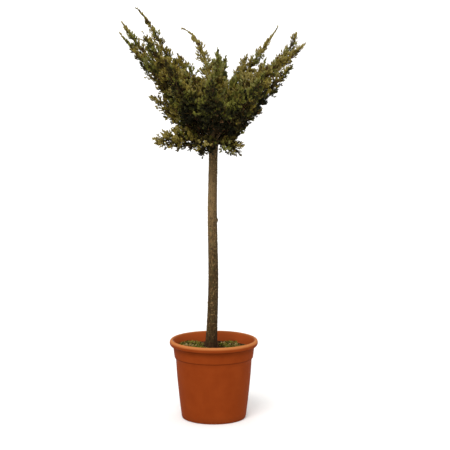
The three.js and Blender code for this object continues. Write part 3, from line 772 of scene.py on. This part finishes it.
plumes = []
for index, (name, habit, azimuth, reach, top, own) in enumerate(plume_rows):
    plume = {**habit, **own, "name": name, "index": index}
    plume["path"], plume["length"] = plume_path(plume, azimuth, reach, top)
    plumes.append(plume)


def stand_on(path, shares):
    """The points of a path at the shares of an array, and the ways along it, to its side and over it."""
    steps = np.linspace(0, 1, len(path))
    rises = np.gradient(path, axis=0)
    points = np.stack([np.interp(shares, steps, path[:, i]) for i in range(3)], axis=1)
    along = unit(np.stack([np.interp(shares, steps, rises[:, i]) for i in range(3)], axis=1))
    side = unit(np.cross(along, (0, 0, 1)))
    return points, along, side, np.cross(side, along)


bough_lines = []
for plume in plumes:
    shares = np.linspace(0, plume["bare"] + 0.01, 40)
    points = stand_on(plume["path"], shares)[0]
    from_stem = np.maximum(0, shares * plume["length"] - stem_head_radius)
    radii = bough_root_radius + (bough_tip_radius - bough_root_radius) * shares / plume["bare"]
    bough_lines.append((points, radii + collar_swelling * np.exp(-from_stem / collar_spread)))
boughs = limbs("boughs", bough_lines, 14)
roughen(boughs, lambda point: bough_bark * bark_height(point))
hand_over(boughs, bark, [f"bough_{plume['name']}" for plume in plumes])

# Twigs. The bough runs on through its plume as a thin stem, and side shoots wind up it by the golden angle.
# They lean out and bend forwards again, are shorter underneath and towards the slender tip, and bear finer
# twigs. A shoot that would leave its own plume's space is made shorter, and left out if it is still too long.
tip_width = 6 * mm
smallest_width = 12 * mm
shoot_spacing = 7.9 * mm
shoots_end = 0.94
shoot_angle = 0.6
shoot_wander = 0.3
shoot_bend = 0.3
shoot_fullness = 0.64
shoot_variety = 0.2
forward_every = 4
forward_lean = 0.6
forward_length = 1.3
underside_shortening = 0.22
shortest_shoot = 6 * mm
shoot_reaches = (1, 0.85, 0.7, 0.55, 0.4)
twig_shares = (0.24, 0.38, 0.52, 0.66, 0.8)
twig_jitter = 0.08
twig_lean = 0.6
twig_wander = 0.3
twig_bend = 0.2
twig_length_share = 0.5
twig_shortening = 0.6
twig_tuft_share = 0.92
plume_tip_radius = 0.8 * mm
shoot_radius = 1.5 * mm
twig_radius = 0.8 * mm
twig_tip_radius = 0.4 * mm
tuft_share = 0.36
tuft_longest = 20 * mm
tuft_shortest = 12 * mm
tuft_overhang = 0.8
overlap_allowed = 10 * mm
stem_clearance = 1.22 * stem_foot_radius


def spread(plume, share):
    """How far a plume's foliage spreads from its line, at a share of the foliage's length."""
    swelling = 0.65 + 0.35 * smoothstep(0, 0.22, share)
    return plume["girth"] * mm * swelling * (1 - share) ** plume["taper"] + tip_width


trail_shares = np.linspace(0, 1, 41)
trails = np.array([stand_on(plume["path"], trail_shares)[0] for plume in plumes])
widths = []
for plume in plumes:
    in_foliage = np.clip((trail_shares - plume["bare"]) / (1 - plume["bare"]), 0, 1)
    widths.append(np.maximum(spread(plume, in_foliage), smallest_width))
widths = np.array(widths)


def in_own_space(index, points):
    """Whether each point is nearer to its own plume, in widths of the foliage, than to any other."""
    away = np.linalg.norm(points[:, None, None] - trails[None], axis=3)
    claims = (away / widths).min(axis=2)
    own = (np.maximum(0, away[:, index] - overlap_allowed) / widths[index]).min(axis=1)
    claims[:, index] = np.inf
    return claims.min(axis=1) > own


def clear_of_stem(points):
    """Whether each point is outside the stem and inside the plant's box."""
    x, y, _ = stem_centre(points[:, 2])
    outside = np.hypot(points[:, 0] - x, points[:, 1] - y) > stem_clearance
    inside_box = ((points > np.array(cad_low)) & (points < np.array(cad_high))).all(axis=1)
    return (outside | (points[:, 2] > stem_top)) & inside_box


def leaning(along, radial, angle):
    """The way along, leaning towards radial by an angle in radians."""
    angle = np.reshape(angle, (-1, 1))
    return unit(along * np.cos(angle) + radial * np.sin(angle))


def around(side, over, turn):
    """The ways out of a line, each at a turn from its side axis towards the axis over it."""
    turn = turn[:, None]
    return side * np.cos(turn) + over * np.sin(turn)


def bent_shoots(roots, along, radial, lean, bend, lengths):
    """Shoots that lean out more at first and less at their ends: root, knee, end and an axis across each."""
    return {
        "root": roots,
        "knee": roots + 0.5 * lengths[:, None] * leaning(along, radial, lean + bend),
        "end": roots + lengths[:, None] * leaning(along, radial, lean),
        "axis": unit(np.cross(along, radial)),
        "length": lengths,
    }


def along_shoots(shoots, share):
    """The points of bent shoots at a share of each, and the way along each there."""
    keep = 1 - share
    points = keep ** 2 * shoots["root"] + 2 * keep * share * shoots["knee"] + share ** 2 * shoots["end"]
    return points, unit(keep * (shoots["knee"] - shoots["root"]) + share * (shoots["end"] - shoots["knee"]))


def picked(shoots, which):
    """Some of the shoots of a set of arrays."""
    return {name: values[which] for name, values in shoots.items()}


def tubes(rings, axes, radii, sides):
    """Thin tubes in one set of arrays. Rings are the points of each tube, with an axis across all of it."""
    count, steps, _ = rings.shape
    along = unit(np.gradient(rings, axis=1))
    across = unit(np.cross(along, axes[:, None]))
    other = np.cross(along, across)
    turns = 2 * math.pi * np.arange(sides) / sides
    outward = across[:, :, None] * np.cos(turns)[:, None] + other[:, :, None] * np.sin(turns)[:, None]
    skin = rings[:, :, None] + np.reshape(radii, (1, -1, 1, 1)) * outward
    first = np.arange(steps - 1)[:, None] * sides + np.arange(sides)
    beside = np.arange(steps - 1)[:, None] * sides + (np.arange(sides) + 1) % sides
    lower = np.stack([first, beside, first + sides], axis=-1).reshape(-1, 3)
    higher = np.stack([beside, beside + sides, first + sides], axis=-1).reshape(-1, 3)
    corner = np.arange(1, sides - 1)
    root_cap = np.stack([0 * corner, corner + 1, corner], axis=1)
    tip_cap = np.stack([0 * corner, corner, corner + 1], axis=1) + (steps - 1) * sides
    faces = np.concatenate([lower, higher, root_cap, tip_cap])
    numbered = faces[None] + (np.arange(count) * steps * sides)[:, None, None]
    return skin.reshape(-1, 3), numbered.reshape(-1, 3)


def twig_tubes(shoots, thickness, steps):
    """Three-sided tubes along bent shoots."""
    rings = np.stack([along_shoots(shoots, share)[0] for share in np.linspace(0, 1, steps)], axis=1)
    return tubes(rings, shoots["axis"], np.linspace(thickness, twig_tip_radius, steps), 3)


twig_parts = []
shoot_sets = []
for plume in plumes:
    index = plume["index"]
    bare = plume["bare"]
    shares = np.linspace(bare, 1, 60)
    points, along, side, over = stand_on(plume["path"], shares)
    thinning = (shares - bare) / (1 - bare)
    radii = bough_tip_radius + (plume_tip_radius - bough_tip_radius) * thinning ** 0.8
    twig_parts.append(tubes(points[None], side[:1], radii, 7))

    count = round(plume["length"] * (1 - bare) * shoots_end / shoot_spacing)
    number = np.arange(count)
    share = shoots_end * (number + 0.4) / count
    roots, along, side, over = stand_on(plume["path"], bare + (1 - bare) * share)
    radial = around(side, over, number * golden_angle + index)
    forward = number % forward_every == 0
    lean = shoot_angle + shoot_wander * (chance(index, number) - 0.5)
    out = spread(plume, share) * (1 - underside_shortening * np.maximum(0, -radial[:, 2]))
    fullness = shoot_fullness + shoot_variety * chance(index + 40, number)
    fullness = np.where(forward, forward_length * forward_lean * fullness, fullness)
    lean = np.where(forward, forward_lean * lean, lean)
    full = np.zeros(count)
    for reach in reversed(shoot_reaches):
        tried = reach * fullness * out / np.sin(lean)
        tips = roots + tried[:, None] * leaning(along, radial, lean)
        full = np.where(in_own_space(index, tips) & clear_of_stem(tips), tried, full)
    tuft = np.clip(tuft_share * out, tuft_shortest, tuft_longest)
    shoots = bent_shoots(roots, along, radial, lean, shoot_bend, full - tuft_overhang * tuft)
    shoots |= {"tuft": tuft, "seed": 97.0 * index + number, "plume": np.full(count, index)}
    shoots["spray"] = shoots["seed"]
    shoots = picked(shoots, shoots["length"] > shortest_shoot)
    twig_parts.append(twig_tubes(shoots, shoot_radius, 4))
    shoot_sets.append(shoots)
    for k, share in enumerate(twig_shares):
        roots, along = along_shoots(shoots, share + twig_jitter * (chance(k, shoots["seed"])[:, None] - 0.5))
        radial = around(shoots["axis"], np.cross(along, shoots["axis"]), k * golden_angle + shoots["seed"])
        lean = twig_lean + twig_wander * (chance(k + 5, shoots["seed"]) - 0.5)
        lengths = shoots["length"] * twig_length_share * (1 - twig_shortening * share)
        finer = bent_shoots(roots, along, radial, lean, twig_bend, lengths)
        finer |= {"tuft": twig_tuft_share * shoots["tuft"], "seed": shoots["seed"] + 0.31 * (k + 1)}
        finer |= {"plume": shoots["plume"], "spray": shoots["spray"]}
        grows = (lengths > shortest_shoot) & in_own_space(index, finer["end"]) & clear_of_stem(finer["end"])
        finer = picked(finer, grows)
        twig_parts.append(twig_tubes(finer, twig_radius, 3))
        shoot_sets.append(finer)
shoots = {name: np.concatenate([one[name] for one in shoot_sets]) for name in shoot_sets[0]}

twigs = joined_mesh("twigs", *fused(twig_parts))
twig_bark = mottled("young juniper bark", "#33210f", "#6b4c2c", 6 * mm, 3, (0.3, 0.7), 0.8, 0.15)
foliage_nodes = [f"foliage_{plume['name']}" for plume in plumes]
hand_over(twigs, twig_bark, foliage_nodes)

# Tufts of needles. A tuft is a short cord of scale leaves with side cords all round it, each a pointed
# blade, and is larger than life because it stands for several. Tufts grow thickly on shoots and twigs and
# along the plume's own stem. Close to that stem, where they are hidden, they have fewer, broader cords.
tuft_spacing = 4.6 * mm
tuft_lean = 0.55
tuft_wander = 0.5
tuft_rise = 0.4
bare_share = 0.2
clump_size = 22 * mm
thin_below = -0.5
leader_spacing = 2.6 * mm
leader_from = 0.02
leader_lean = 0.85 * tuft_lean
leader_size = 1.1
end_tuft_at = 0.97
cord_width = 0.16
cord_depth = 0.09
side_cords = 8
inner_side_cords = 4
inner_width = 1.3
inner_within = 0.45
tuft_flatness = 0.8
tuft_seeds = (3, 7, 12, 19)


def noise_at(points, size, shift=0):
    """Smooth noise at each point of an array, in lumps of a size."""
    return np.array([noise.noise(Vector(point) / size + Vector((shift, shift, shift))) for point in points])


def tuft_shape(seed, cord_count, width):
    """A tuft one unit long: a main cord with side cords all round it, which grow shorter towards its tip."""
    cords = [blade((0, 0, 0), (0.03, 1, 0.02), width, cord_depth, 0.5)]
    for k in range(cord_count):
        up = 0.06 + 0.74 * (k + 0.5 * chance(seed, k)) / cord_count
        turn = k * golden_angle + seed
        lean = 0.68 - 0.2 * up + 0.25 * (chance(seed, k + 20) - 0.5)
        long = 0.44 * (1 - 0.5 * up) * (0.85 + 0.3 * chance(seed, k + 40))
        out = long * math.sin(lean)
        tip = (out * math.cos(turn), up + long * math.cos(lean), tuft_flatness * out * math.sin(turn))
        cords.append(blade((0, up, 0), tip, width * 0.95, cord_depth, 0.55))
    return fused(cords)


outer_shapes = [tuft_shape(seed, side_cords, cord_width) for seed in tuft_seeds]
inner_shapes = [tuft_shape(seed, inner_side_cords, inner_width * cord_width) for seed in tuft_seeds]
counts = np.maximum(1, np.round(shoots["length"] * (1 - bare_share) / tuft_spacing)).astype(int)
owner = np.repeat(np.arange(len(counts)), counts)
rank = np.arange(counts.sum()) - np.repeat(np.cumsum(counts) - counts, counts)
bearing = picked(shoots, owner)
share = (bare_share + (1 - bare_share) * (rank + 0.5) / counts[owner])[:, None]
points, along = along_shoots(bearing, share)
radial = around(bearing["axis"], np.cross(along, bearing["axis"]), rank * golden_angle + bearing["seed"])
lean = tuft_lean + tuft_wander * (chance(bearing["seed"], rank) - 0.5)
lengths = bearing["tuft"] * (0.7 + 0.4 * chance(bearing["seed"] + 1, rank))
tuft_rows = [
    (points, leaning(along, radial, lean), lengths, chance(bearing["spray"], 5), bearing["plume"]),
    (*along_shoots(shoots, end_tuft_at), shoots["tuft"], chance(shoots["spray"], 5), shoots["plume"]),
]
for plume in plumes:
    index = plume["index"]
    bare = plume["bare"]
    count = round(plume["length"] * (1 - bare) * (1 - leader_from) / leader_spacing)
    number = np.arange(count)
    share = leader_from + (1 - leader_from) * (number + 0.5) / count
    points, along, side, over = stand_on(plume["path"], bare + (1 - bare) * share)
    radial = around(side, over, number * golden_angle + index + 1)
    lean = leader_lean + tuft_wander * (chance(index, number) - 0.5)
    size = np.clip(leader_size * spread(plume, share), 0.9 * tuft_shortest, 0.9 * tuft_longest)
    lengths = size * (0.8 + 0.3 * chance(index + 3, number))
    mood = chance(index + 9, number)
    tuft_rows.append((points, leaning(along, radial, lean), lengths, mood, np.full(count, index)))
    tip, along, side, over = stand_on(plume["path"], np.array([1.0]))
    tuft_rows.append((tip - along * tuft_shortest, along, [tuft_shortest], [0.5], [index]))
roots, ways, lengths, moods, owners = map(np.concatenate, zip(*tuft_rows))
ways = unit(ways + (0, 0, tuft_rise))

tips = roots + ways * lengths[:, None]
clumps = noise_at(tips, clump_size)
kept = clear_of_stem(tips) & clear_of_stem(roots) & (clumps > thin_below)
for plume in plumes:
    mine = owners == plume["index"]
    kept[mine] &= in_own_space(plume["index"], tips[mine])
roots, ways, lengths, moods, owners = (values[kept] for values in (roots, ways, lengths, moods, owners))
tips = tips[kept]
clumps = clumps[kept]

# Scale leaves are waxy but so small that a tuft looks matt. Light and shade are painted into each tuft's
# colour by its place: over or under its plume, near or far from the plume's line, high or low in the crown,
# with some chance for each shoot. Sunlit ones on top and outside are painted yellow-olive, and shaded ones
# inside and below are painted nearly black.

# The painted sun and the gold that a plume has more than the others, or less where the sign is minus.
plume_painted_sun_and_gold = {
    "left_leader": (0, 0.2), "left_upper": (0.04, 0.12), "left_outer": (0, 0.12), "left_inner": (0.05, 0.12),
    "left_front": (-0.24, 0), "inner_left": (0, 0.1), "inner_front": (0.18, -0.2),
    "inner_right": (0.08, -0.25), "front": (-0.26, -0.3), "right_front": (-0.14, -0.2),
    "right_lower": (-0.24, -0.1), "right_outer": (0.1, 0.08), "right_fork": (0.1, 0),
    "right_leader": (0.15, 0.15), "back_leader": (0.3, 0.5), "low_right": (0, -0.1),
    "low_right_front": (0.06, 0.15), "low_front": (-0.14, 0.1), "low_left_front": (0.2, 0.2),
    "low_left": (0.15, 0.2),
}
over_line, out_of_line, plume_sun, plume_gold = np.zeros((4, len(roots)))
for plume in plumes:
    mine = owners == plume["index"]
    away = tips[mine][:, None] - trails[plume["index"]][None]
    nearest = np.linalg.norm(away, axis=2).argmin(axis=1)
    offset = away[np.arange(len(nearest)), nearest] / widths[plume["index"]][nearest][:, None]
    over_line[mine] = offset[:, 2]
    out_of_line[mine] = np.linalg.norm(offset, axis=1)
    plume_sun[mine], plume_gold[mine] = plume_painted_sun_and_gold.get(plume["name"], (0, 0))
number = np.arange(len(roots))
crown_foot = 1000 * mm
crown_height = cad_high.z - crown_foot
crown_radius = 0.5 * (cad_high.x - cad_low.x)
# The sun score is painted light: it sets each tuft's level of painted light and shade below.
sun = (
    0.16 * over_line
    + 0.36 * out_of_line
    + 0.40 * smoothstep(crown_foot, crown_foot + 0.5 * crown_height, tips[:, 2])
    + 0.14 * np.hypot(tips[:, 0], tips[:, 1]) / crown_radius
    + 0.45 * clumps
    + plume_sun
    + 0.40 * moods
    + 0.06 * chance(31, number)
)
withered_share = 0.04
withered_size = 16 * mm
withered_scatter = 0.35
withering = noise_at(tips, withered_size, 7)
withered = np.argsort(-withering - withered_scatter * chance(33, number))[:round(withered_share * len(tips))]
gold_size = 70 * mm
gold_scatter = 0.12
gold = noise_at(tips, gold_size, 3)
golden = gold + gold_scatter * (chance(35, number) - 0.5) + plume_gold > 0
order = np.argsort(sun)
order = order[~np.isin(order, withered)]

# A level of painted light has its share of the tufts, its golden and its green, each from dark to light. The
# levels run from deep painted shade up to "tips", the palest, most brightly painted tufts.
light_levels = {
    "deep_shade": (0.17, ("#211c0b", "#2e2912"), ("#1a1a0d", "#262616")),
    "shade": (0.18, ("#393517", "#494221"), ("#313019", "#3f3f23")),
    "half_shade": (0.18, ("#564c1f", "#665a27"), ("#48471d", "#575726")),
    "open": (0.18, ("#746728", "#847532"), ("#626126", "#73712e")),
    "sunlit": (0.17, ("#8c7b34", "#978840"), ("#787632", "#86843e")),
    "tips": (0.12, ("#988848", "#a39558"), ("#8a8749", "#96945a")),
}
shares = np.cumsum([share for share, _, _ in light_levels.values()])
dealt = np.split(order, np.round(shares[:-1] * len(order)).astype(int))
tuft_sets = [("withered", ("#462d19", "#6d5335"), withered)]
for (name, (_, gold_shades, green_shades)), chosen in zip(light_levels.items(), dealt):
    tuft_sets.append((f"{name}_golden", gold_shades, chosen[golden[chosen]]))
    tuft_sets.append((f"{name}_green", green_shades, chosen[~golden[chosen]]))
# Each level of painted light and shade, golden or green, and the withered tufts each become a piece with its
# own material.
for name, (dark, light), chosen in tuft_sets:
    parts = []
    inner = out_of_line[chosen] < inner_within
    for shapes, drawn in ((outer_shapes, chosen[~inner]), (inner_shapes, chosen[inner])):
        for offset, shape in enumerate(shapes):
            mine = drawn[drawn % len(shapes) == offset]
            roll = np.stack([np.sin(mine * 1.7), np.cos(mine * 2.3), np.sin(mine * 0.9 + 1)], axis=1)
            flat = unit(np.cross(ways[mine], roll + 0.01))
            parts.append(copies(shape, roots[mine], flat, ways[mine], lengths[mine]))
    tuft_piece = joined_mesh(f"tufts_{name}", *fused(parts))
    needles = mottled(f"juniper scale leaves, {name.replace('_', ' ')}", dark, light, 8 * mm)
    hand_over(tuft_piece, needles, foliage_nodes)
